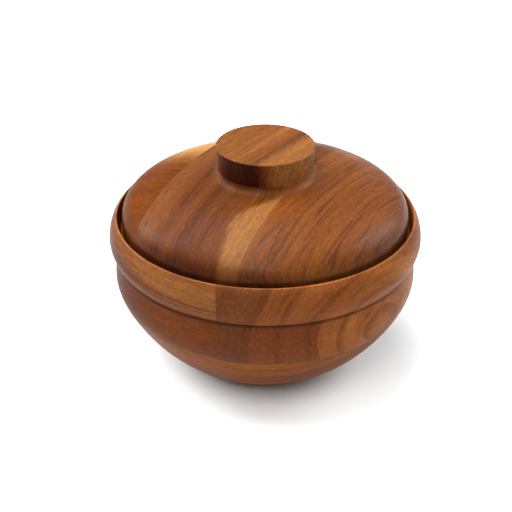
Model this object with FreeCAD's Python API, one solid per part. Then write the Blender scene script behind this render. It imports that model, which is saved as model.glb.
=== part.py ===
import FreeCAD, Part
import math
import os

# A turned wooden shaving bowl with a lift-off lid, in millimetres.
# Frame: origin at the middle of the foot's resting plane, +Z up, -Y towards the front.
# The bowl and the lid are each turned from a blank glued up from boards. A vertical or a level
# plane parts each board from the next, and every board that the turning leaves is one solid, in
# one node. The knob is a piece of its own, glued into the lid by a tenon.

# ---- driving dimensions -------------------------------------------------------------
# A pair in brackets is a point of an outline: its radius and its height.

# Heights above the resting plane.
LAYER_JOINT_HEIGHT = 30.2      # level glue joint between the base layer and the upper layer
CREASE_HEIGHT = 48.1           # where the body runs in under the bulging band's lip
SEAT_HEIGHT = 57.0             # ledge that the lid sits on
RIM_HEIGHT = 62.6              # crest of the bowl's rim
OVERALL_HEIGHT = 90.0          # top of the knob

# Bowl, outside.
FOOT_RADIUS = 29.1
FOOT_EDGE_EASE = 0.35
BODY_LEAN_DEG = (38.0, 99.0)   # the body's slope at the foot and at the crease
BODY_LOWER_FLANK = (45.5, 14.4)
BODY_UPPER_FLANK = (54.6, 27.1)
BODY_WIDEST = (58.4, 37.6)     # widest part below the crease
CREASE_RADIUS = 57.1
LIP_OVERHANG = 0.85            # how far the band's lip stands out over the crease
BAND_LEAN_DEG = (60.0, 130.0)  # the band's slope at its lip and at the rim's crest
BAND_LOWER_FLANK = (59.3, 50.7)
BAND_WIDEST = (60.0, 53.8)     # widest part of the whole object
BAND_UPPER_FLANK = (59.5, 57.8)
BAND_SHOULDER = (58.1, 61.3)
RIM_CREST_RADIUS = 56.95
RIM_EASING = 0.35              # how far the rim's two edges are eased, down from its crest

# Bowl, inside.
FOOT_RECESS_RADIUS = 23.5
FOOT_RECESS_DEPTH = 1.5
FLOOR_HEIGHT = 9.0             # inside floor of the cavity
REBATE_RADIUS = 55.5           # wall around the lid, at the ledge
REBATE_FLARE_DEG = 12.0        # how far that wall leans outwards, up to the crest
CAVITY_MOUTH_RADIUS = 50.0
LEDGE_EASE = 0.5
CAVITY_LEAN_DEG = (-85.0, 180.0)  # the cavity wall's slope at the mouth and at the floor
CAVITY_WIDEST = (50.6, 43.0)
CAVITY_FLANK = (47.6, 30.0)
CAVITY_LOWER_FLANK = (40.0, 18.4)
CAVITY_FLOOR_BEND = (27.0, 10.8)

# Lid.
LID_CLEARANCE = 0.8            # gap all round, between the lid and the foot of the rebate's wall
LID_RADIUS = REBATE_RADIUS - LID_CLEARANCE
LID_EDGE_EASE = 0.4
LID_SIDE_TOP_HEIGHT = 62.4     # where the straight side turns into the dome
DOME_SHOULDER = ((53.7, 66.2), (50.1, 70.0), (44.2, 72.9))
DOME_CROWN = ((37.0, 75.6), (29.8, 77.1))
DOME_TOP_HEIGHT = 78.1         # where the dome turns up into the cove below the knob
DISH_RADIUS = 45.5             # hollow turned in the lid's underside
DISH_DEPTH = 8.5
DISH_FLANK = (24.0, 63.1)
DISH_EDGE_LEAN_DEG = -32.0
COVE_RADIUS = 3.5
COVE_START_DEG = 193.0         # the cove's slope where the knob stands on the lid
COVE_SWEEP_DEG = 71.0

# Knob, a separate turned piece.
KNOB_NECK_RADIUS = 17.95
KNOB_TOP_RADIUS = 18.5
KNOB_EDGE_EASE = 0.25
TENON_RADIUS = 6.0
TENON_LENGTH = 7.0
TENON_GLUE_GAP = 0.1           # all round the tenon
TENON_END_GAP = 0.6            # below the tenon

# Glue joints. A joint's place is its distance from the axis, along the row of boards.
BASE_GRAIN_DEG = 0.0           # base boards run left to right
BASE_JOINTS = (-19.0, 22.0)
UPPER_GRAIN_DEG = 90.0         # the upper layer's joint runs front to back
UPPER_JOINT = 17.3             # measured towards the left
LID_GRAIN_DEG = 64.2           # the lid has been put on turned against the bowl
LID_JOINTS = (-14.3, 30.8)     # measured towards the left

REACH = 200.0                  # half-size of a cutting slab, well beyond the blank


# ---- outline helpers ----------------------------------------------------------------

def place(radius, height):
    """A point of a turned outline, in the plane y = 0."""
    return FreeCAD.Vector(radius, 0.0, height)


def straight(start, end):
    """A straight edge between two (radius, height) points."""
    return Part.LineSegment(place(*start), place(*end)).toShape()


def rounded(start, middle, end):
    """A circular edge through three (radius, height) points."""
    return Part.Arc(place(*start), place(*middle), place(*end)).toShape()


def on_circle(centre, radius, degrees):
    """The (radius, height) point at an angle round a circle in the outline's plane."""
    angle = math.radians(degrees)
    return (centre[0] + radius * math.cos(angle), centre[1] + radius * math.sin(angle))


def heading(degrees):
    """A unit direction in the outline's plane."""
    return on_circle((0.0, 0.0), 1.0, degrees)


def flowing(points, end_slopes_deg):
    """A smooth edge through the points, with its slope set at the first and at the last one."""
    curve = Part.BSplineCurve()
    curve.interpolate(
        Points=[place(*point) for point in points],
        InitialTangent=place(*heading(end_slopes_deg[0])),
        FinalTangent=place(*heading(end_slopes_deg[1])),
    )
    return curve.toShape()


def turned(edges):
    """The solid that a closed outline sweeps in one turn about the Z axis."""
    face = Part.Face(Part.Wire(edges))
    return face.revolve(FreeCAD.Vector(0, 0, 0), FreeCAD.Vector(0, 0, 1), 360)


# ---- the turned shapes --------------------------------------------------------------

def bowl_blank():
    """The whole bowl as turned: foot, round body, bulging band, rim, rebate and cavity."""
    foot_corner = (FOOT_RADIUS, 0.0)
    body_start = (FOOT_RADIUS + FOOT_EDGE_EASE, FOOT_EDGE_EASE)
    crease = (CREASE_RADIUS, CREASE_HEIGHT)
    lip = (CREASE_RADIUS + LIP_OVERHANG, CREASE_HEIGHT)
    crest_centre = (RIM_CREST_RADIUS, RIM_HEIGHT - RIM_EASING)
    crest_outer = on_circle(crest_centre, RIM_EASING, BAND_LEAN_DEG[1] - 90.0)
    crest_top = on_circle(crest_centre, RIM_EASING, 90.0)
    crest_inner = on_circle(crest_centre, RIM_EASING, 180.0 - REBATE_FLARE_DEG)
    ledge_outer = (REBATE_RADIUS, SEAT_HEIGHT)
    ledge_inner = (CAVITY_MOUTH_RADIUS + LEDGE_EASE, SEAT_HEIGHT)
    mouth = (CAVITY_MOUTH_RADIUS, SEAT_HEIGHT - LEDGE_EASE)
    floor_centre = (0.0, FLOOR_HEIGHT)
    recess_centre = (0.0, FOOT_RECESS_DEPTH)
    recess_edge = (FOOT_RECESS_RADIUS - FOOT_RECESS_DEPTH, FOOT_RECESS_DEPTH)
    recess_foot = (FOOT_RECESS_RADIUS, 0.0)

    body = flowing(
        [body_start, BODY_LOWER_FLANK, BODY_UPPER_FLANK, BODY_WIDEST, crease],
        BODY_LEAN_DEG,
    )
    band = flowing(
        [lip, BAND_LOWER_FLANK, BAND_WIDEST, BAND_UPPER_FLANK, BAND_SHOULDER, crest_outer],
        BAND_LEAN_DEG,
    )
    cavity = flowing(
        [mouth, CAVITY_WIDEST, CAVITY_FLANK, CAVITY_LOWER_FLANK, CAVITY_FLOOR_BEND, floor_centre],
        CAVITY_LEAN_DEG,
    )
    return turned([
        straight(recess_centre, recess_edge),
        straight(recess_edge, recess_foot),
        straight(recess_foot, foot_corner),
        straight(foot_corner, body_start),
        body,
        straight(crease, lip),
        band,
        straight(crest_outer, crest_top),
        straight(crest_top, crest_inner),
        straight(crest_inner, ledge_outer),
        straight(ledge_outer, ledge_inner),
        straight(ledge_inner, mouth),
        cavity,
        straight(floor_centre, recess_centre),
    ])


def cove():
    """Centre, upper end, middle and lower end of the cove that runs up to the knob."""
    end_deg = COVE_START_DEG + COVE_SWEEP_DEG
    slope = heading(end_deg)
    start = heading(COVE_START_DEG)
    centre = (
        KNOB_NECK_RADIUS - COVE_RADIUS * start[0],
        DOME_TOP_HEIGHT - COVE_RADIUS * slope[1],
    )
    return (
        centre,
        on_circle(centre, COVE_RADIUS, COVE_START_DEG),
        on_circle(centre, COVE_RADIUS, COVE_START_DEG + COVE_SWEEP_DEG / 2),
        on_circle(centre, COVE_RADIUS, end_deg),
    )


def lid_blank():
    """The lid as turned, without its knob: side, low dome, cove, tenon socket and dish."""
    cove_top, cove_middle, cove_end = cove()[1:]
    socket_radius = TENON_RADIUS + TENON_GLUE_GAP
    socket_depth = TENON_LENGTH + TENON_END_GAP
    socket_edge = (socket_radius, cove_top[1])
    socket_corner = (socket_radius, cove_top[1] - socket_depth)
    socket_centre = (0.0, cove_top[1] - socket_depth)
    dish_centre = (0.0, SEAT_HEIGHT + DISH_DEPTH)
    dish_edge = (DISH_RADIUS, SEAT_HEIGHT)
    side_foot = (LID_RADIUS - LID_EDGE_EASE, SEAT_HEIGHT)
    side_bottom = (LID_RADIUS, SEAT_HEIGHT + LID_EDGE_EASE)
    side_top = (LID_RADIUS, LID_SIDE_TOP_HEIGHT)

    dome = flowing(
        [side_top, *DOME_SHOULDER, *DOME_CROWN, cove_end],
        (90.0, COVE_START_DEG + COVE_SWEEP_DEG - 90.0),
    )
    dish = flowing([dish_centre, DISH_FLANK, dish_edge], (0.0, DISH_EDGE_LEAN_DEG))
    return turned([
        dish,
        straight(dish_edge, side_foot),
        straight(side_foot, side_bottom),
        straight(side_bottom, side_top),
        dome,
        rounded(cove_end, cove_middle, cove_top),
        straight(cove_top, socket_edge),
        straight(socket_edge, socket_corner),
        straight(socket_corner, socket_centre),
        straight(socket_centre, dish_centre),
    ])


def knob():
    """The flat-topped knob, a little wider at its top, with the tenon that holds it."""
    foot_height = cove()[1][1]
    foot_centre = (0.0, foot_height - TENON_LENGTH)
    tenon_end = (TENON_RADIUS, foot_height - TENON_LENGTH)
    tenon_root = (TENON_RADIUS, foot_height)
    neck = (KNOB_NECK_RADIUS, foot_height)
    side_top = (KNOB_TOP_RADIUS, OVERALL_HEIGHT - KNOB_EDGE_EASE)
    rim = (KNOB_TOP_RADIUS - KNOB_EDGE_EASE, OVERALL_HEIGHT)
    top_centre = (0.0, OVERALL_HEIGHT)
    return turned([
        straight(foot_centre, tenon_end),
        straight(tenon_end, tenon_root),
        straight(tenon_root, neck),
        straight(neck, side_top),
        straight(side_top, rim),
        straight(rim, top_centre),
        straight(top_centre, foot_centre),
    ])


# ---- boards -------------------------------------------------------------------------

def slab(grain_deg, near, far, low=-REACH, high=REACH):
    """A block of stock running along grain_deg, between two distances from the axis.

    The distances are measured to the left of the grain's direction, seen from above.
    """
    block = Part.makeBox(2 * REACH, far - near, high - low, FreeCAD.Vector(-REACH, near, low))
    block.rotate(FreeCAD.Vector(0, 0, 0), FreeCAD.Vector(0, 0, 1), grain_deg)
    return block


def boards(blank, names, grain_deg, joints, low=-REACH, high=REACH):
    """Parts a turned blank into its boards; names and joints run from right to left."""
    edges = [-REACH, *joints, REACH]
    return {
        name: blank.common(slab(grain_deg, near, far, low, high))
        for name, near, far in zip(names, edges, edges[1:])
    }


def assembly():
    """Every board of the bowl and of the lid, and the knob, by node name."""
    bowl = bowl_blank()
    lid = lid_blank()
    nodes = {"lid_knob": knob()}
    nodes.update(boards(
        bowl, ("base_front_board", "base_middle_board", "base_rear_board"),
        BASE_GRAIN_DEG, BASE_JOINTS, high=LAYER_JOINT_HEIGHT,
    ))
    nodes.update(boards(
        bowl, ("upper_right_board", "upper_left_board"),
        UPPER_GRAIN_DEG, (UPPER_JOINT,), low=LAYER_JOINT_HEIGHT,
    ))
    nodes.update(boards(
        lid, ("lid_right_board", "lid_middle_board", "lid_left_board"),
        LID_GRAIN_DEG, LID_JOINTS,
    ))
    return nodes


os.makedirs("parts", exist_ok=True)
for node, shape in assembly().items():
    if len(shape.Solids) != 1 or not shape.isValid():
        raise ValueError(f"{node} is not one valid solid")
    shape.Solids[0].exportStep(f"parts/{node}.step")
    print(node, round(shape.Volume / 1000, 2), "cm3")
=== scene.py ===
import math

import bmesh
import bpy
import numpy as np
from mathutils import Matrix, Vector


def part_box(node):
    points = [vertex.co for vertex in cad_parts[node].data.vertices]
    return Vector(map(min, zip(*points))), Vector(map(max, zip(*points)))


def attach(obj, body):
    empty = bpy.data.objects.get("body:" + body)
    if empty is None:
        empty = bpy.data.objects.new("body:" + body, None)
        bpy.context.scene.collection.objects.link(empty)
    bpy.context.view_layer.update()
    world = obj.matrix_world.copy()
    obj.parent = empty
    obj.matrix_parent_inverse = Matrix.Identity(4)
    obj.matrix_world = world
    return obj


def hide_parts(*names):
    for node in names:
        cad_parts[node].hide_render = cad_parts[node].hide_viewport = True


# The lidded shaving bowl's visual model. Sizes are in millimetres and turned into metres with
# MM; the frame is the CAD's own: +Z up, -Y towards the front, origin under the foot.

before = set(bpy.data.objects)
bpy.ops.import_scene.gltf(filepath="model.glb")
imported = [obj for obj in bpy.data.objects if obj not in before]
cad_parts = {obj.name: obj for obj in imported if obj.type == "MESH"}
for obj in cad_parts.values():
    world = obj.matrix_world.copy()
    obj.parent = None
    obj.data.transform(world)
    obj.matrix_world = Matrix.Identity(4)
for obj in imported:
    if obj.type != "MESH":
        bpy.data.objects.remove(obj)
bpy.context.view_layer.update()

MM = 0.001
SKIN = 0.02          # how far the widest ring stays inside the CAD model's box


# ---- levels and radii, read from the frame ------------------------------------------

def box_mm(node):
    """A CAD node's lowest and highest corners, in millimetres."""
    low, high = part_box(node)
    return low / MM, high / MM


UPPER_LOW, UPPER_HIGH = box_mm("upper_right_board")
LID_LOW, LID_HIGH = box_mm("lid_right_board")
MIDDLE_LOW, MIDDLE_HIGH = box_mm("base_middle_board")
LAYER_JOINT = UPPER_LOW.z
RIM_TOP = UPPER_HIGH.z
BAND_RADIUS = UPPER_HIGH.x - SKIN
UPPER_JOINT = -UPPER_LOW.x
SEAT = LID_LOW.z
LID_RADIUS = LID_HIGH.x
KNOB_TOP = box_mm("lid_knob")[1].z
BASE_JOINTS = (MIDDLE_LOW.y, MIDDLE_HIGH.y)

LID_GRAIN_DEG = 64.2
LID_JOINTS = (-14.3, 30.8)      # distances from the axis, to the left of the lid's grain

# ---- outline of the turning: (radius, height) points --------------------------------

# The bowl's foot and outside.
FOOT_RADIUS = 29.1
FOOT_EASE = 0.35
RECESS_RADIUS = 23.5
RECESS_DEPTH = 1.5
CREASE = (57.1, 48.1)
LIP_OVERHANG = 0.85
BODY_FLANKS = [(45.5, 14.4), (54.6, 27.1), (58.4, 37.6)]
BODY_SLOPES = (38, 99)
BAND_FLANKS = [(59.3, 50.7), (BAND_RADIUS, 53.8), (59.5, 57.8), (58.1, 61.3)]
BAND_SLOPES = (60, 130)

# Its rim, the rebate and ledge that the lid sits in, and its cavity.
CREST_RADIUS = 56.95
RIM_ROUNDING = 0.35
REBATE_RADIUS = 55.5
REBATE_FLARE = 12
MOUTH_RADIUS = 50.0
LEDGE_EASE = 0.5
CAVITY_FLANKS = [(50.6, 43.0), (47.6, 30.0), (40.0, 18.4), (27.0, 10.8)]
CAVITY_SLOPES = (-85, 180)
FLOOR = 9.0

# The lid's side, dome and dish, and the cove between its dome and the knob.
LID_EASE = 0.4
LID_SIDE_TOP = 62.4
DOME = [(53.7, 66.2), (50.1, 70.0), (44.2, 72.9), (37.0, 75.6), (29.8, 77.1)]
DOME_START_SLOPE = 90
DOME_TOP = 78.1
DISH_DEPTH = 8.5
DISH_FLANK = (24.0, 63.1)
DISH_EDGE = (45.5, SEAT)
DISH_SLOPES = (0, -32)
COVE_RADIUS = 3.5
COVE_START = 193.0
COVE_END = 264.0

# The knob, and the tenon that holds it in the lid's socket.
NECK_RADIUS = 17.95
KNOB_RADIUS = 18.5
KNOB_EASE = 0.25
TENON_RADIUS = 6.0
TENON_LENGTH = 7.0
GLUE_GAP = 0.1
TENON_END_GAP = 0.6

TURNS = 360          # facets round the axis
STEP = 0.7           # length of a facet along a curved outline
WIDE_STEP = 2.0      # length of a facet where nothing curves


def heading(degrees):
    return np.array([math.cos(math.radians(degrees)), math.sin(math.radians(degrees))])


def straight(start, end, step=STEP):
    """Points from start up to, but not including, end."""
    start, end = np.array(start, float), np.array(end, float)
    count = max(1, round(np.linalg.norm(end - start) / step))
    return [start + (end - start) * i / count for i in range(count)]


def arc(centre, radius, first_deg, last_deg, count=12):
    """Points round a circle, without the last one."""
    turn = (last_deg - first_deg) / count
    return [np.array(centre) + radius * heading(first_deg + turn * i) for i in range(count)]


def flowing(points, slopes, step=STEP):
    """Points along the smooth cubic through the given ones, without the last one."""
    p = np.array(points, float)
    h = np.linalg.norm(np.diff(p, axis=0), axis=1)
    n = len(p)
    system = np.eye(n)
    right = np.zeros((n, 2))
    right[0], right[-1] = heading(slopes[0]), heading(slopes[1])
    for i in range(1, n - 1):
        before, after = h[i - 1], h[i]
        system[i, i - 1:i + 2] = after, 2 * (before + after), before
        right[i] = 3 * (after / before * (p[i] - p[i - 1]) + before / after * (p[i + 1] - p[i]))
    d = np.linalg.solve(system, right)
    made = []
    for i in range(n - 1):
        count = max(1, round(h[i] / step))
        for t in np.arange(count) / count:
            keep = 2 * t**3 - 3 * t**2 + 1
            made.append(
                keep * p[i] + (1 - keep) * p[i + 1]
                + h[i] * ((t**3 - 2 * t**2 + t) * d[i] + (t**3 - t**2) * d[i + 1])
            )
    return made


def bowl_outline():
    foot = (FOOT_RADIUS, 0.0)
    body_start = (FOOT_RADIUS + FOOT_EASE, FOOT_EASE)
    recess_edge = (RECESS_RADIUS - RECESS_DEPTH, RECESS_DEPTH)
    lip = (CREASE[0] + LIP_OVERHANG, CREASE[1])
    crest = np.array((CREST_RADIUS, RIM_TOP - RIM_ROUNDING))
    crest_start, crest_end = BAND_SLOPES[1] - 90, 180 - REBATE_FLARE
    crest_outer = tuple(crest + RIM_ROUNDING * heading(crest_start))
    crest_inner = crest + RIM_ROUNDING * heading(crest_end)
    ledge_outer = (REBATE_RADIUS, SEAT)
    ledge_inner = (MOUTH_RADIUS + LEDGE_EASE, SEAT)
    mouth = (MOUTH_RADIUS, SEAT - LEDGE_EASE)
    return (
        straight((0, RECESS_DEPTH), recess_edge, WIDE_STEP)
        + straight(recess_edge, (RECESS_RADIUS, 0))
        + straight((RECESS_RADIUS, 0), foot)
        + straight(foot, body_start)
        + flowing([body_start, *BODY_FLANKS, CREASE], BODY_SLOPES)
        + straight(CREASE, lip)
        + flowing([lip, *BAND_FLANKS, crest_outer], BAND_SLOPES)
        + arc(crest, RIM_ROUNDING, crest_start, crest_end)
        + straight(crest_inner, ledge_outer)
        + straight(ledge_outer, ledge_inner)
        + straight(ledge_inner, mouth)
        + flowing([mouth, *CAVITY_FLANKS, (0, FLOOR)], CAVITY_SLOPES, 2 * STEP)
        + [np.array((0.0, FLOOR))]
    )


def cove():
    """Centre, lower end and upper end of the cove between the lid's dome and the knob."""
    centre = np.array((
        NECK_RADIUS - COVE_RADIUS * heading(COVE_START)[0],
        DOME_TOP - COVE_RADIUS * heading(COVE_END)[1],
    ))
    lower_end = centre + COVE_RADIUS * heading(COVE_END)
    upper_end = centre + COVE_RADIUS * heading(COVE_START)
    return centre, lower_end, upper_end


def lid_outline():
    dish_centre = (0.0, SEAT + DISH_DEPTH)
    side_foot = (LID_RADIUS - LID_EASE, SEAT)
    side = (LID_RADIUS, SEAT + LID_EASE)
    side_top = (LID_RADIUS, LID_SIDE_TOP)
    cove_centre, cove_end, cove_top = cove()
    socket_radius = TENON_RADIUS + GLUE_GAP
    socket_floor = cove_top[1] - TENON_LENGTH - TENON_END_GAP
    return (
        flowing([dish_centre, DISH_FLANK, DISH_EDGE], DISH_SLOPES, 2 * STEP)
        + straight(DISH_EDGE, side_foot, WIDE_STEP)
        + straight(side_foot, side)
        + straight(side, side_top)
        + flowing([side_top, *DOME, tuple(cove_end)], (DOME_START_SLOPE, COVE_END - 90))
        + arc(cove_centre, COVE_RADIUS, COVE_END, COVE_START)
        + straight(cove_top, (socket_radius, cove_top[1]), WIDE_STEP)
        + straight((socket_radius, cove_top[1]), (socket_radius, socket_floor), WIDE_STEP)
        + straight((socket_radius, socket_floor), (0, socket_floor), WIDE_STEP)
        + [np.array((0.0, socket_floor))]
    )


def knob_outline():
    foot = cove()[2][1]
    tenon_end = foot - TENON_LENGTH
    side_top = (KNOB_RADIUS, KNOB_TOP - KNOB_EASE)
    rim = (KNOB_RADIUS - KNOB_EASE, KNOB_TOP)
    return (
        straight((0, tenon_end), (TENON_RADIUS, tenon_end), WIDE_STEP)
        + straight((TENON_RADIUS, tenon_end), (TENON_RADIUS, foot), WIDE_STEP)
        + straight((TENON_RADIUS, foot), (NECK_RADIUS, foot), WIDE_STEP)
        + straight((NECK_RADIUS, foot), side_top)
        + straight(side_top, rim, KNOB_EASE / 2)
        + straight(rim, (0, KNOB_TOP), WIDE_STEP)
        + [np.array((0.0, KNOB_TOP))]
    )


# ---- turning the outline and parting it into boards ---------------------------------

ON_AXIS = 1e-6       # a smaller radius is a point on the axis
CUT_DISTANCE = 1e-7  # in metres, how near to a joint's plane a vertex counts as on it
SHARP_DEG = 28.0     # a sharper edge than this is shaded as a crease


def turned(outline):
    """A closed mesh, in metres, swept from an outline whose two ends are on the axis."""
    made = bmesh.new()
    rings = []
    for radius, height in outline:
        if radius < ON_AXIS:
            rings.append([made.verts.new((0, 0, height * MM))])
            continue
        rings.append([
            made.verts.new((
                radius * MM * math.cos(math.tau * i / TURNS),
                radius * MM * math.sin(math.tau * i / TURNS),
                height * MM,
            ))
            for i in range(TURNS)
        ])
    for lower, upper in zip(rings, rings[1:]):
        for i in range(TURNS):
            j = (i + 1) % TURNS
            corners = [lower[i % len(lower)], lower[j % len(lower)],
                       upper[j % len(upper)], upper[i % len(upper)]]
            made.faces.new(list(dict.fromkeys(corners)))
    return made


def parted(blank, planes):
    """What is left of a turned blank on the inner side of each (point, outward normal)."""
    board = blank.copy()
    for point, normal in planes:
        cut = bmesh.ops.bisect_plane(
            board,
            geom=[*board.verts, *board.edges, *board.faces],
            dist=CUT_DISTANCE,
            plane_co=Vector(point) * MM,
            plane_no=Vector(normal),
            clear_outer=True,
        )["geom_cut"]
        rim = [e for e in cut if isinstance(e, bmesh.types.BMEdge) and e.is_boundary]
        bmesh.ops.triangle_fill(board, edges=rim, use_beauty=True)
    bmesh.ops.recalc_face_normals(board, faces=board.faces)
    return board


def wood_piece(node, blank, planes, material, body):
    """One board or the knob, riding on its body in place of its CAD node."""
    shape = parted(blank, planes)
    mesh = bpy.data.meshes.new(node + "_wood")
    shape.to_mesh(mesh)
    shape.free()
    mesh.shade_smooth()
    mesh.set_sharp_from_angle(angle=math.radians(SHARP_DEG))
    mesh.materials.append(material)
    piece = bpy.data.objects.new(node + "_wood", mesh)
    bpy.context.scene.collection.objects.link(piece)
    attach(piece, body)
    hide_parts(node)


# ---- shading ------------------------------------------------------------------------

def colour(red, green, blue):
    """A linear colour from the usual 0 to 255 display values."""
    return tuple(((c / 255 + 0.055) / 1.055) ** 2.4 if c > 10 else c / 255 / 12.92
                 for c in (red, green, blue)) + (1.0,)


def deeper(tone, amount):
    """A linear colour multiplied down."""
    return tuple(c * amount for c in tone[:3]) + (1.0,)


class Shading:
    """Short names for the nodes that a material is made of."""

    def __init__(self, name):
        self.material = bpy.data.materials.new(name)
        self.material.use_nodes = True
        self.tree = self.material.node_tree
        self.tree.nodes.clear()

    def node(self, kind, **settings):
        made = self.tree.nodes.new(kind)
        for key, value in settings.items():
            setattr(made, key, value)
        return made

    def feed(self, socket, value):
        if isinstance(value, bpy.types.NodeSocket):
            self.tree.links.new(value, socket)
        else:
            socket.default_value = value

    def math(self, operation, *values):
        made = self.node("ShaderNodeMath", operation=operation)
        for socket, value in zip(made.inputs, values):
            self.feed(socket, value)
        return made.outputs[0]

    def times(self, *values):
        product = values[0]
        for value in values[1:]:
            product = self.math("MULTIPLY", product, value)
        return product

    def plus(self, *values):
        total = values[0]
        for value in values[1:]:
            total = self.math("ADD", total, value)
        return total

    def centred(self, noise):
        """Noise about 0.5 moved to lie about 0."""
        return self.math("SUBTRACT", noise, 0.5)

    def vector(self, operation, *values):
        made = self.node("ShaderNodeVectorMath", operation=operation)
        for socket, value in zip(made.inputs, values):
            self.feed(socket, value)
        scalar = operation in ("DOT_PRODUCT", "LENGTH")
        return made.outputs["Value" if scalar else "Vector"]

    def scaled(self, vector, factor):
        made = self.node("ShaderNodeVectorMath", operation="SCALE")
        self.feed(made.inputs[0], vector)
        self.feed(made.inputs["Scale"], factor)
        return made.outputs["Vector"]

    def point(self, x, y, z):
        made = self.node("ShaderNodeCombineXYZ")
        for socket, value in zip(made.inputs, (x, y, z)):
            self.feed(socket, value)
        return made.outputs[0]

    def split(self, vector):
        made = self.node("ShaderNodeSeparateXYZ")
        self.feed(made.inputs[0], vector)
        return tuple(made.outputs)

    def noise(self, place, size, seed, detail=2.0, roughness=0.5, fourth=None):
        """Smooth noise about 0.5, with features of the given size along each axis."""
        scaled = self.vector("DIVIDE", place, size)
        moved = self.vector("ADD", scaled, (seed, seed * 1.7, -seed * 0.6))
        made = self.node("ShaderNodeTexNoise", noise_dimensions="3D" if fourth is None else "4D")
        made.inputs["Scale"].default_value = 1.0
        made.inputs["Detail"].default_value = detail
        made.inputs["Roughness"].default_value = roughness
        self.feed(made.inputs["Vector"], moved)
        if fourth is not None:
            self.feed(made.inputs["W"], fourth)
        return made.outputs["Fac"]

    def ramp(self, value, start, end, low=0.0, high=1.0):
        """A smooth change of value, from low at start to high at end."""
        made = self.node("ShaderNodeMapRange", interpolation_type="SMOOTHSTEP")
        limits = {"From Min": start, "From Max": end, "To Min": low, "To Max": high}
        for key, number in limits.items():
            self.feed(made.inputs[key], number)
        self.feed(made.inputs["Value"], value)
        return made.outputs["Result"]

    def mix(self, amount, first, second, blend="MIX"):
        made = self.node("ShaderNodeMix", data_type="RGBA", blend_type=blend)
        self.feed(made.inputs["Factor"], amount)
        self.feed(made.inputs[6], first)
        self.feed(made.inputs[7], second)
        return made.outputs[2]

    def shaded(self, tone, factor):
        return self.mix(1.0, tone, self.point(factor, factor, factor), "MULTIPLY")

    def output(self, surface):
        made = self.node("ShaderNodeOutputMaterial")
        self.feed(made.inputs["Surface"], surface.outputs[0])


# ---- wood ---------------------------------------------------------------------------

# The wood's features. Each layer is (thickness across the growth rings, breadth round the log,
# length along it, step from the board's seed, noise detail, noise roughness).
RIPPLES = (9, 9, 40, 7, 2.0, 0.5)
BANDS = (7, 45, 130, 3, 1, 0.5)
LINES = (1.1, 22, 70, 5, 3, 0.6)
STREAKS = (8, 26, 23, 2, 0.5)          # without its thickness, which is each board's own
FIBRES = (0.5, 2.2, 16, 11, 2, 0.6)
FLECKS = (0.3, 1.0, 6, 37, 1, 0.5)
SPECKLES = (1.0, 1.6, 2.6, 43, 1, 0.6)

# Noise that lies along the board, not round the log: (size, step from the board's seed).
DRIFT_LEVEL = ((90, 28, 28), 0)
DRIFT_UPRIGHT = ((90, 28, 28), 31)
PORES = ((3.0, 0.24, 0.24), 29)

# Wear from hands, which doesn't follow the grain.
HAND_WEAR = ((18, 18, 18), 41)

NEAREST_REACH = 30.0                   # least distance from the pith that breadths are reckoned at
RIPPLE_DEPTH = 2.0                     # between the farthest that the rings wave in and out
LATE_WOOD_START = (0.6, 0.93)          # fractions of a ring between which it darkens
LATE_WOOD_END = (0.93, 0.99)           # and between which it turns light again
BAND_WEIGHT = 0.7                      # share of the bands in the tone
LINE_WEIGHT = 0.55                     # share of the lines in it
LIGHT_TO_MIDDLE = (-0.16, 0.02)        # tones between which the colours change
MIDDLE_TO_DARK = (0.00, 0.18)
STREAK_START = (0.73, 0.86)            # noise over which a streak sets in
STREAKS_IN_BANDS = 0.35                # how much streaks keep to the dark bands
SPECK_START = (0.60, 0.74)             # noise over which a pore or a fleck sets in
ZONE_RAGGED = 2.5                      # how far the lines pull a zone's edge about
ZONE_TONE = 1.6                        # how strongly the tone shows in a zone
DEEPEST = 0.40                         # brightness of streaks and pores, as a share of the dark tone's
SPECKLE_RANGE = (0.65, 0.7)            # least brightness that speckles leave, and what they add
FLECK_STRENGTH = 0.25
PORE_STRENGTH = 0.45
PAINTED_RING_INNER = (REBATE_RADIUS - 1.0, REBATE_RADIUS + 0.5)    # radii where the painted highlights and painted shade round the bowl fade out
PAINTED_RING_AWAY = 5.0                        # farther from any painted ring than its width
CUT_END_FACING = (0.60, 0.97)          # how squarely a surface crosses the grain
CUT_END_GREEN = 1.5                    # cut ends lose more green than red, and more blue still
CUT_END_BLUE = 1.9
ROUGHNESS = 0.28
FIBRE_ROUGHNESS = 0.12
WEAR_ROUGHNESS = 0.12
PORE_ROUGHNESS = 0.2
BUMP_STRENGTH = 0.4
BUMP_DEPTH = 0.05
FIBRE_BUMP = 0.6


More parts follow.
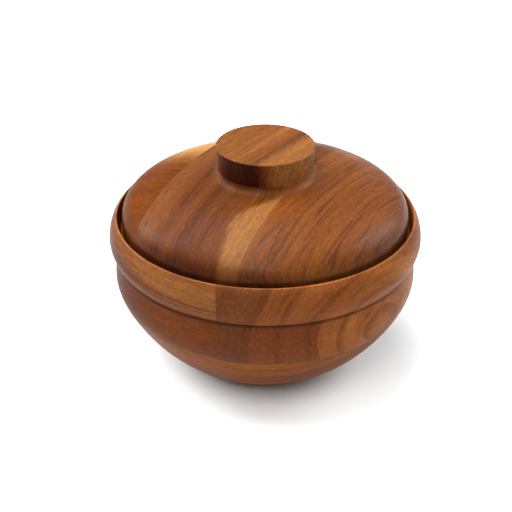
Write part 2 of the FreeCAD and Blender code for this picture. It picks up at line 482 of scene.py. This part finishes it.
class Wood:
    """What one board's wood is like; a board names only the settings that differ from these.

    grain is the direction of the log it was cut from, in degrees. pith is how far the log's
    heart lies from the origin, across the grain: (level distance to the left of the grain's
    direction, height). tones are light, middle and dark colours.
    """

    tilt = 0.0           # degrees that the grain rises along its direction
    wander = 4.0         # how far the grain strays from straight
    ring = 11.0          # distance between growth rings
    ring_start = 0.0     # how far they all move towards the pith, as a share of that distance
    late = 0.3           # how strongly each ring's dark late wood shows
    streaks = 0.5        # how strongly dark streaks show
    streak_width = 1.3
    contrast = 1.0       # how strongly bands and lines show
    figure = 0.72        # how strongly fibres show
    end_shade = 0.62     # brightness where the surface crosses the grain squarely
    polish = 0.06        # how strongly the surface reflects
    # Painted shade: the lid is made darker low down, towards its rim, for the shade on its forward
    # slopes.
    painted_rim_shade = None     # (height up to which it is darkest, height where it ends, brightness)

    # Stretches of other wood: (distance from the pith where it starts, where it ends, how soft
    # its edges are, colour, strength), with its strength above the crease added if it differs.
    zones = ()

    # How much farther out the zones start: (place along the grain, second place, shift before
    # the first, shift beyond the second).
    shifts = ()

    # Painted light in rings round the outside: painted highlights on edges and painted shade in
    # creases, as (height, distance up to which it is full, distance where it ends, brightness).
    painted_rings = ()

    def __init__(self, name, grain, pith, tones, seed, **settings):
        self.name = name
        self.grain = grain
        self.pith = pith
        self.tones = tones
        self.seed = seed
        for key, value in settings.items():
            if not hasattr(Wood, key):
                raise TypeError("wood has no setting called " + key)
            setattr(self, key, value)


class Timber(Shading):
    """Shading that knows where each point lies in its board, and in the log it was cut from."""

    def __init__(self, wood):
        super().__init__(wood.name)
        self.wood = wood
        coordinates = self.node("ShaderNodeTexCoord")
        self.normal = coordinates.outputs["Normal"]
        self.place = self.scaled(coordinates.outputs["Object"], 1 / MM)
        self.height = self.split(self.place)[2]

        angle, rise = math.radians(wood.grain), math.radians(wood.tilt)
        level = math.cos(rise)
        self.grain_axis = (math.cos(angle) * level, math.sin(angle) * level, math.sin(rise))
        across_axis = (-math.sin(angle), math.cos(angle), 0.0)
        up_axis = tuple(Vector(self.grain_axis).cross(Vector(across_axis)))
        self.along, across, up = (self.vector("DOT_PRODUCT", self.place, axis)
                                  for axis in (self.grain_axis, across_axis, up_axis))
        self.board = self.point(self.along, across, up)

        from_pith = self.from_pith()
        self.radius = self.vector("LENGTH", from_pith)
        _, level_way, upright_way = self.split(self.vector("NORMALIZE", from_pith))
        self.log = self.point(self.radius, level_way, upright_way)
        self.reach = max(math.hypot(*wood.pith), NEAREST_REACH)

    def from_pith(self):
        """The way from the pith, level and upright, with the wander of the grain."""
        drift = self.vector("SUBTRACT", self.point(
            0.5, self.in_board(DRIFT_LEVEL), self.in_board(DRIFT_UPRIGHT)), (0.5, 0.5, 0.5))
        moved = self.vector("ADD", self.board, self.scaled(drift, self.wood.wander))
        way = self.vector("SUBTRACT", moved, (0.0, *self.wood.pith))
        return self.vector("MULTIPLY", way, (0.0, 1.0, 1.0))

    def in_board(self, feature):
        """Noise that lies along the board."""
        size, step = feature
        return self.noise(self.board, size, self.wood.seed + step, 1)

    def in_log(self, feature):
        """Noise in thin layers that lie with the growth rings and run along the grain."""
        thickness, breadth, length, step, detail, roughness = feature
        size = (thickness, breadth / self.reach, breadth / self.reach)
        return self.noise(self.log, size, self.wood.seed + step, detail, roughness,
                          self.math("DIVIDE", self.along, length))


def late_wood(s):
    """1 in the dark line that ends each growth ring, 0 elsewhere."""
    ripple = s.times(s.centred(s.in_log(RIPPLES)), RIPPLE_DEPTH)
    turn = s.math("DIVIDE", s.plus(s.radius, ripple), s.wood.ring)
    phase = s.math("FRACT", s.plus(turn, s.wood.ring_start))
    return s.times(s.ramp(phase, *LATE_WOOD_START), s.ramp(phase, *LATE_WOOD_END, 1.0, 0.0))


def with_zones(s, base, lines, tone):
    """The base colour with the board's zones of other wood."""
    ragged = s.plus(s.radius, s.times(s.centred(lines), ZONE_RAGGED))
    for shift in s.wood.shifts:
        ragged = s.math("SUBTRACT", ragged, s.ramp(s.along, *shift))
    for start, end, soft, zone_tone, strength, *strength_above in s.wood.zones:
        if strength_above:
            strength = s.ramp(s.height, CREASE[1] - 1, CREASE[1], strength, strength_above[0])
        amount = s.times(s.ramp(ragged, start - soft, start + soft),
                         s.ramp(s.radius, end - soft, end + soft, 1.0, 0.0), strength)
        zone_colour = s.shaded(colour(*zone_tone), s.plus(1.0, s.times(tone, ZONE_TONE)))
        base = s.mix(amount, base, zone_colour)
    return base


def with_painted_light(s, base):
    """The base colour with painted shade low on the lid, and painted highlights and painted shade in
    rings round the bowl.
    """
    if s.wood.painted_rim_shade:
        low, high, darkness = s.wood.painted_rim_shade
        base = s.shaded(base, s.ramp(s.height, low, high, darkness, 1.0))
    out = s.vector("LENGTH", s.vector("MULTIPLY", s.place, (1.0, 1.0, 0.0)))
    inside = s.ramp(out, *PAINTED_RING_INNER, PAINTED_RING_AWAY, 0.0)
    for level, near, far, brightness in s.wood.painted_rings:
        distance = s.math("ABSOLUTE", s.math("SUBTRACT", s.height, level))
        base = s.shaded(base, s.ramp(s.plus(distance, inside), near, far, brightness, 1.0))
    return base


def with_cut_ends(s, base):
    """The base colour, darker where the wood is cut across: that soaks up more oil."""
    facing = s.math("ABSOLUTE", s.vector("DOT_PRODUCT", s.normal, s.grain_axis))
    shade = s.ramp(facing, *CUT_END_FACING, 1.0, s.wood.end_shade)
    green, blue = (s.math("POWER", shade, power) for power in (CUT_END_GREEN, CUT_END_BLUE))
    return s.mix(1.0, base, s.point(shade, green, blue), "MULTIPLY")


def oiled(s, base, fibre, pore):
    """The oiled surface, with the roughness and bump of its fibres and pores."""
    surface = s.node("ShaderNodeBsdfPrincipled")
    surface.inputs["Specular IOR Level"].default_value = s.wood.polish
    s.feed(surface.inputs["Base Color"], base)
    size, step = HAND_WEAR
    hand_wear = s.noise(s.place, size, s.wood.seed + step, 2)
    s.feed(surface.inputs["Roughness"], s.plus(
        ROUGHNESS, s.times(fibre, FIBRE_ROUGHNESS), s.times(hand_wear, WEAR_ROUGHNESS),
        s.times(pore, PORE_ROUGHNESS)))
    bump = s.node("ShaderNodeBump")
    bump.inputs["Strength"].default_value = BUMP_STRENGTH
    bump.inputs["Distance"].default_value = BUMP_DEPTH * MM
    s.feed(bump.inputs["Height"], s.math("SUBTRACT", s.times(fibre, FIBRE_BUMP), pore))
    s.feed(surface.inputs["Normal"], bump.outputs[0])
    return surface


def wood_material(wood):
    s = Timber(wood)
    bands, lines = s.in_log(BANDS), s.in_log(LINES)
    tone = s.plus(s.times(s.centred(bands), BAND_WEIGHT * wood.contrast),
                  s.times(s.centred(lines), LINE_WEIGHT * wood.contrast))
    streak_noise = s.in_log((wood.streak_width, *STREAKS))
    streak = s.ramp(s.plus(streak_noise, s.times(bands, STREAKS_IN_BANDS)), *STREAK_START)
    fibre = s.in_log(FIBRES)
    pore = s.ramp(s.in_board(PORES), *SPECK_START)
    fleck = s.ramp(s.in_log(FLECKS), *SPECK_START)

    light, middle, dark = (colour(*shade) for shade in wood.tones)
    deep = deeper(dark, DEEPEST)
    base = s.mix(s.ramp(tone, *LIGHT_TO_MIDDLE), light, middle)
    base = s.mix(s.ramp(tone, *MIDDLE_TO_DARK), base, dark)
    base = with_zones(s, base, lines, tone)
    base = s.mix(s.times(late_wood(s), wood.late), base, dark)
    base = s.mix(s.times(streak, wood.streaks), base, deep)

    least, added = SPECKLE_RANGE
    base = s.shaded(base, s.times(
        s.plus(1 - wood.figure / 2, s.times(fibre, wood.figure)),
        s.plus(least, s.times(s.in_log(SPECKLES), added))))
    base = s.mix(s.times(fleck, FLECK_STRENGTH), base, light)
    base = s.mix(s.times(pore, PORE_STRENGTH), base, deep)
    base = with_cut_ends(s, with_painted_light(s, base))
    s.output(oiled(s, base, fibre, pore))
    return s.material


# ---- each board's wood --------------------------------------------------------------

RED = ((104, 56, 18), (87, 44, 12), (60, 27, 7))
DEEP_RED = ((102, 54, 16), (85, 42, 11), (59, 27, 6))
GOLD = ((122, 68, 20), (104, 54, 14), (74, 34, 8))
HONEY = ((141, 85, 40), (123, 70, 31), (86, 44, 18))
PALE = ((124, 78, 40), (108, 65, 32), (84, 46, 20))
TAN = ((130, 79, 36), (108, 61, 23), (76, 38, 12))
BROWN = ((106, 54, 14), (92, 45, 10), (68, 31, 6))
SAP = (140, 93, 48)
PALE_SAP = (170, 120, 62)
BODY_BROWN = (84, 39, 14)
END_BROWN = (92, 46, 20)
END_DARK = (78, 45, 24)

# Painted shade low on the lid, towards its rim: (height up to which it is darkest, height where it
# ends, brightness).
LID_PAINTED_SHADE = (60, 74, 0.58)
# Painted light round the bowl: a painted highlight on the rim's crest, a painted highlight on the
# lip's lower edge, and painted shade in the crease under the lip.
BOWL_PAINTED_RINGS = [
    (RIM_TOP, 0.15, 0.45, 1.6),
    (CREASE[1] + 0.3, 0.3, 0.6, 1.35),
    (CREASE[1] - 0.6, 0.4, 1.6, 0.45),
]
FINE_FIGURE = {"late": 0.08, "wander": 2, "contrast": 0.6}

WOODS = {
    "base_front_board": Wood(
        "wood_base_front", 0, (12, -62), GOLD, 1, tilt=3, streaks=0.15, contrast=0.8, polish=0.03),
    "base_middle_board": Wood(
        "wood_base_middle", 0, (10, -80), RED, 2, streaks=0.3),
    "base_rear_board": Wood(
        "wood_base_rear", 0, (20, 90), RED, 3, streaks=0.3),
    "upper_left_board": Wood(
        "wood_upper_left", 0, (-30, -150), PALE, 4, ring=14, late=0.25, streaks=0.2,
        zones=[(182, 200, 1.0, BODY_BROWN, 0.85)], painted_rings=BOWL_PAINTED_RINGS, polish=0.03),
    "upper_right_board": Wood(
        "wood_upper_right", 90, (-42, 37), HONEY, 5, ring=10.9, ring_start=0.3, late=0.6,
        streaks=0.08, wander=5, contrast=0.6, end_shade=0.85,
        zones=[(24.5, 90, 0.4, END_BROWN, 0.8, 0.25), (48, 90, 0.5, END_DARK, 0.6)],
        painted_rings=BOWL_PAINTED_RINGS, polish=0.04),
    "lid_right_board": Wood(
        "wood_lid_right", 60, (-190, 75), GOLD, 6, streak_width=0.9,
        painted_rim_shade=LID_PAINTED_SHADE, polish=0.11, **FINE_FIGURE),
    "lid_middle_board": Wood(
        "wood_lid_middle", LID_GRAIN_DEG, (160, 75), DEEP_RED, 7, streak_width=0.9,
        zones=[(164.5, 180, 1.8, SAP, 0.72), (110, 136, 5.0, TAN[0], 0.3)],
        shifts=[(-56, -36, 3.5, 0.0), (-34, -12, 0.0, 10.0)],
        painted_rim_shade=LID_PAINTED_SHADE, polish=0.07, **FINE_FIGURE),
    "lid_left_board": Wood(
        "wood_lid_left", 147, (160, 60), BROWN, 8, late=0.1, streaks=0.3, contrast=0.45,
        zones=[(163, 192, 12.0, PALE_SAP, 0.9)], painted_rim_shade=LID_PAINTED_SHADE, polish=0.02),
    "lid_knob": Wood(
        "wood_knob", 55.5, (-170, 88), TAN, 9, streaks=0.4, streak_width=0.5, end_shade=0.17,
        figure=1.3, zones=[(120, 162, 3.0, SAP, 0.3)], **FINE_FIGURE),
}


# ---- the boards and the knob --------------------------------------------------------

def row_planes(grain_deg, near, far):
    """The two faces that bound a board; distances are to the left of the grain's direction."""
    left = Vector((-math.sin(math.radians(grain_deg)), math.cos(math.radians(grain_deg)), 0))
    planes = []
    if near is not None:
        planes.append((left * near, -left))
    if far is not None:
        planes.append((left * far, left))
    return planes


def make_pieces():
    bowl, lid, knob = turned(bowl_outline()), turned(lid_outline()), turned(knob_outline())
    below = ((0, 0, LAYER_JOINT), (0, 0, 1))
    above = ((0, 0, LAYER_JOINT), (0, 0, -1))
    right_joint, left_joint = LID_JOINTS
    front_joint, rear_joint = BASE_JOINTS
    cuts = {
        "base_front_board": (bowl, [below, *row_planes(0, None, front_joint)], "bowl"),
        "base_middle_board": (bowl, [below, *row_planes(0, front_joint, rear_joint)], "bowl"),
        "base_rear_board": (bowl, [below, *row_planes(0, rear_joint, None)], "bowl"),
        "upper_right_board": (bowl, [above, *row_planes(90, None, UPPER_JOINT)], "bowl"),
        "upper_left_board": (bowl, [above, *row_planes(90, UPPER_JOINT, None)], "bowl"),
        "lid_right_board": (lid, row_planes(LID_GRAIN_DEG, None, right_joint), "lid"),
        "lid_middle_board": (lid, row_planes(LID_GRAIN_DEG, right_joint, left_joint), "lid"),
        "lid_left_board": (lid, row_planes(LID_GRAIN_DEG, left_joint, None), "lid"),
        "lid_knob": (knob, [], "lid"),
    }
    materials = {node: wood_material(wood) for node, wood in WOODS.items()}
    for node, (blank, planes, body) in cuts.items():
        wood_piece(node, blank, planes, materials[node], body)
    for blank in (bowl, lid, knob):
        blank.free()


make_pieces()


# ---- floor, light and camera: places and sizes here are in metres -------------------

FLOOR_REACH = 3.0
FLOOR_TONE = (0.84, 0.86, 0.865, 1)
SURROUND_TONE = (1, 1, 1, 1)
SURROUND_STRENGTH = 0.5
LIT_PLACE = (0, 0, 0.04)        # what the softboxes point at
SOFTBOXES = [                   # (name, place, size, power in watts)
    ("top_softbox", (-0.3, 0.15, 1.1), (1.0, 0.8), 15.5),
    ("right_softbox", (0.8, 0.3, 0.6), (0.5, 0.6), 7.5),
    ("left_softbox", (-0.8, 0.3, 0.6), (0.5, 0.6), 9.0),
    ("front_softbox", (-0.2, -0.7, 0.95), (0.7, 0.5), 7.5),
]
CAMERA_PLACE = (-0.0035, -0.3594, 0.2545)
CAMERA_TILT_DEG = 59.37         # up from looking straight down
LENS = 74.5                     # in millimetres, as is the sensor's width
SENSOR_WIDTH = 36.0
NEAREST_SEEN = 0.01


def make_floor():
    corners = [(-1, -1), (1, -1), (1, 1), (-1, 1)]
    mesh = bpy.data.meshes.new("floor")
    mesh.from_pydata([(x * FLOOR_REACH, y * FLOOR_REACH, 0) for x, y in corners],
                     [], [(0, 1, 2, 3)])
    floor = bpy.data.objects.new("floor", mesh)
    bpy.context.scene.collection.objects.link(floor)
    s = Shading("floor_white")
    surface = s.node("ShaderNodeBsdfDiffuse")
    surface.inputs["Color"].default_value = FLOOR_TONE
    s.output(surface)
    mesh.materials.append(s.material)


def softbox(name, place, size, power):
    light = bpy.data.lights.new(name, "AREA")
    light.shape = "RECTANGLE"
    light.size, light.size_y = size
    light.energy = power
    lamp = bpy.data.objects.new(name, light)
    lamp.location = place
    lamp.rotation_euler = (Vector(LIT_PLACE) - Vector(place)).to_track_quat("-Z", "Y").to_euler()
    bpy.context.scene.collection.objects.link(lamp)


def make_lights():
    world = bpy.data.worlds.new("studio")
    world.use_nodes = True
    background = world.node_tree.nodes["Background"]
    background.inputs["Color"].default_value = SURROUND_TONE
    background.inputs["Strength"].default_value = SURROUND_STRENGTH
    bpy.context.scene.world = world
    for name, place, size, power in SOFTBOXES:
        softbox(name, place, size, power)


def make_camera():
    data = bpy.data.cameras.new("camera")
    data.sensor_width = SENSOR_WIDTH
    data.lens = LENS
    data.clip_start = NEAREST_SEEN
    camera = bpy.data.objects.new("camera", data)
    camera.location = CAMERA_PLACE
    camera.rotation_euler = (math.radians(CAMERA_TILT_DEG), 0, 0)
    bpy.context.scene.collection.objects.link(camera)
    bpy.context.scene.camera = camera


make_floor()
make_lights()
make_camera()
bpy.context.scene.view_settings.view_transform = "Standard"
